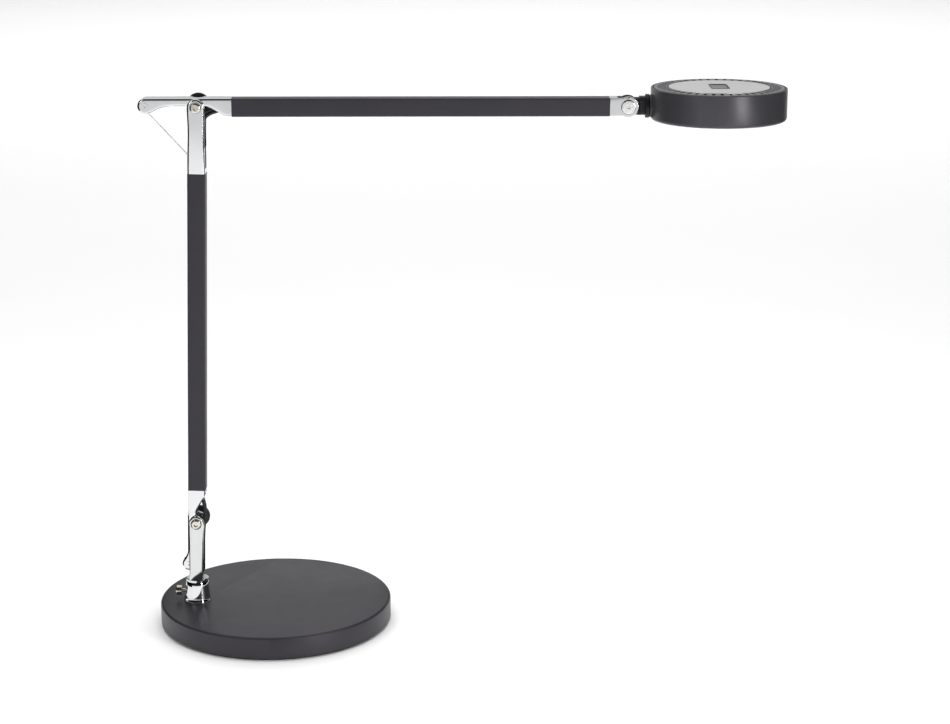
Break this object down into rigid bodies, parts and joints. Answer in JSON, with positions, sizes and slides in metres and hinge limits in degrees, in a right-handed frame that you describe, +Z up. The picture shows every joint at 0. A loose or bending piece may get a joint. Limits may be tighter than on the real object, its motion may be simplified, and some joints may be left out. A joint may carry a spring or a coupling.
{
  "type": "counterweight balance desk lamp",
  "caption": "Desk lamp with a weighted round base, swivelling forked post, spring-balanced square arms with a bare balance wire at the elbow, and a flat round vented LED head.",
  "frame": {"origin": "centre of the base's underside", "axes": "+Z up, +X from the base centre towards the head as posed, arms in a plane parallel to XZ, -Y the side with the pivot screw heads"},
  "size_m": [0.5642, 0.211, 0.4929],
  "materials": {
    "rubber_pad": "matte",
    "inner_steel": "satin",
    "base_black": "satin dark grey-black powder coat",
    "cast_weight": "as cast",
    "black_plastic": "matte",
    "lead_black": "matte",
    "chrome": "polished",
    "nickel": "satin, slightly warm",
    "bush_nylon": "natural nylon",
    "tube_black": "satin dark grey-black",
    "spring_steel": "bright wire",
    "wire_steel": "bright twisted wire",
    "knob_black": "semi-gloss",
    "head_grey": "satin dark grey anodised",
    "vent_grey": "satin dark grey",
    "plate_silver": "fine satin silver",
    "switch_silver": "satin silver",
    "heat_sink": "plain",
    "board_white": "white solder mask",
    "led_yellow": "phosphor",
    "diffuser_white": "frosted opal"
  },
  "bodies": {
    "base": {"base_pad": "rubber_pad", "base_plate": "inner_steel", "base_cover": "base_black", "base_weight": "cast_weight", "base_screws": "inner_steel", "power_inlet": "black_plastic", "inlet_pin": "nickel", "base_lead": "lead_black", "post_collar": "chrome", "swivel_bush": "bush_nylon", "collar_nut": "inner_steel"},
    "thumbscrew": {"collar_thumbscrew": "nickel"},
    "post": {"swivel_post": "chrome", "post_retainer": "inner_steel", "shoulder_bolt": "nickel", "shoulder_washers": "bush_nylon", "shoulder_wire": "wire_steel", "shoulder_lead": "lead_black"},
    "shoulder_clamp_knob": {"shoulder_knob": "knob_black"},
    "lower_arm": {"lower_arm_fitting": "chrome", "lower_roller": "black_plastic", "lower_roller_axle": "nickel", "lower_tube": "tube_black", "lower_spring": "spring_steel", "lower_inner_wire": "wire_steel", "lower_lead": "lead_black", "elbow_fork": "chrome", "wire_anchor_pins": "nickel", "elbow_bolt": "nickel", "elbow_washers": "bush_nylon"},
    "elbow_clamp_knob": {"elbow_knob": "knob_black"},
    "upper_arm": {"upper_arm_fitting": "chrome", "upper_roller": "black_plastic", "upper_roller_axle": "nickel", "upper_tube": "tube_black", "upper_spring": "spring_steel", "upper_inner_wire": "wire_steel", "upper_lead": "lead_black", "elbow_lead": "lead_black", "head_fork": "chrome", "tilt_bolt": "nickel", "tilt_nut": "nickel", "tilt_washers": "bush_nylon"},
    "balance_wire": {"elbow_wire": "wire_steel"},
    "balance_wire_end": {"elbow_wire_core": "wire_steel"},
    "knuckle": {"head_knuckle": "head_grey", "neck_circlip": "inner_steel"},
    "head": {"neck_collar": "head_grey", "head_housing": "head_grey", "vent_ring": "vent_grey", "top_plate": "plate_silver", "switch_body": "switch_silver", "heat_sink": "heat_sink", "led_board": "board_white", "led_chips": "led_yellow", "board_screws": "inner_steel", "diffuser": "diffuser_white", "diffuser_bezel": "head_grey"},
    "switch": {"switch_button": "switch_silver"}
  },
  "joints": [
    {"name": "post_swivel", "type": "hinge", "parent": "base", "child": "post", "pos_m": [-0.0712, -0.0067, 0.043], "axis": [0, 0, 1], "range_deg": [-170, 170]},
    {"name": "thumbscrew_turn", "type": "hinge", "parent": "base", "child": "thumbscrew", "pos_m": [-0.0882, -0.0067, 0.0302], "axis": [1, 0, 0], "range_deg": [-180, 180]},
    {"name": "shoulder_hinge", "type": "hinge", "parent": "post", "child": "lower_arm", "pos_m": [-0.0696, -0.0067, 0.0973], "axis": [0, 1, 0], "range_deg": [-20, 45], "deforming": ["shoulder_wire", "shoulder_lead"]},
    {"name": "shoulder_knob_turn", "type": "hinge", "parent": "post", "child": "shoulder_clamp_knob", "pos_m": [-0.0696, -0.0067, 0.0973], "axis": [0, 1, 0], "range_deg": [-180, 180]},
    {"name": "elbow_hinge", "type": "hinge", "parent": "lower_arm", "child": "upper_arm", "pos_m": [-0.05854, -0.0067, 0.47604], "axis": [0, 1, 0], "range_deg": [-45, 60], "deforming": ["elbow_lead"]},
    {"name": "elbow_knob_turn", "type": "hinge", "parent": "lower_arm", "child": "elbow_clamp_knob", "pos_m": [-0.05854, -0.0067, 0.47604], "axis": [0, 1, 0], "range_deg": [-180, 180]},
    {"name": "wire_swing", "type": "hinge", "parent": "upper_arm", "child": "balance_wire", "pos_m": [-0.10224, -0.0067, 0.47714], "axis": [0, 1, 0], "range_deg": [-33, 25]},
    {"name": "wire_pay_out", "type": "slide", "parent": "balance_wire", "child": "balance_wire_end", "axis": [0.6726, 0, -0.74], "range_m": [-0.0178, 0.0236]},
    {"name": "head_tilt", "type": "hinge", "parent": "upper_arm", "child": "knuckle", "pos_m": [0.31661, -0.0067, 0.47604], "axis": [0, 1, 0], "range_deg": [-80, 80]},
    {"name": "head_twist", "type": "hinge", "parent": "knuckle", "child": "head", "pos_m": [0.33561, -0.0067, 0.47604], "axis": [1, 0, 0], "range_deg": [-150, 150]},
    {"name": "switch_press", "type": "slide", "parent": "head", "child": "switch", "axis": [0, 0, -1], "range_m": [0, 0.0012], "stiffness_N_per_m": 400, "springref_m": -0.0008}
  ],
  "couplings": [
    {"joint": "wire_swing", "follows": "elbow_hinge", "ratio": -0.545},
    {"joint": "wire_pay_out", "follows": "elbow_hinge", "m_per_rad": 0.0223}
  ]
}
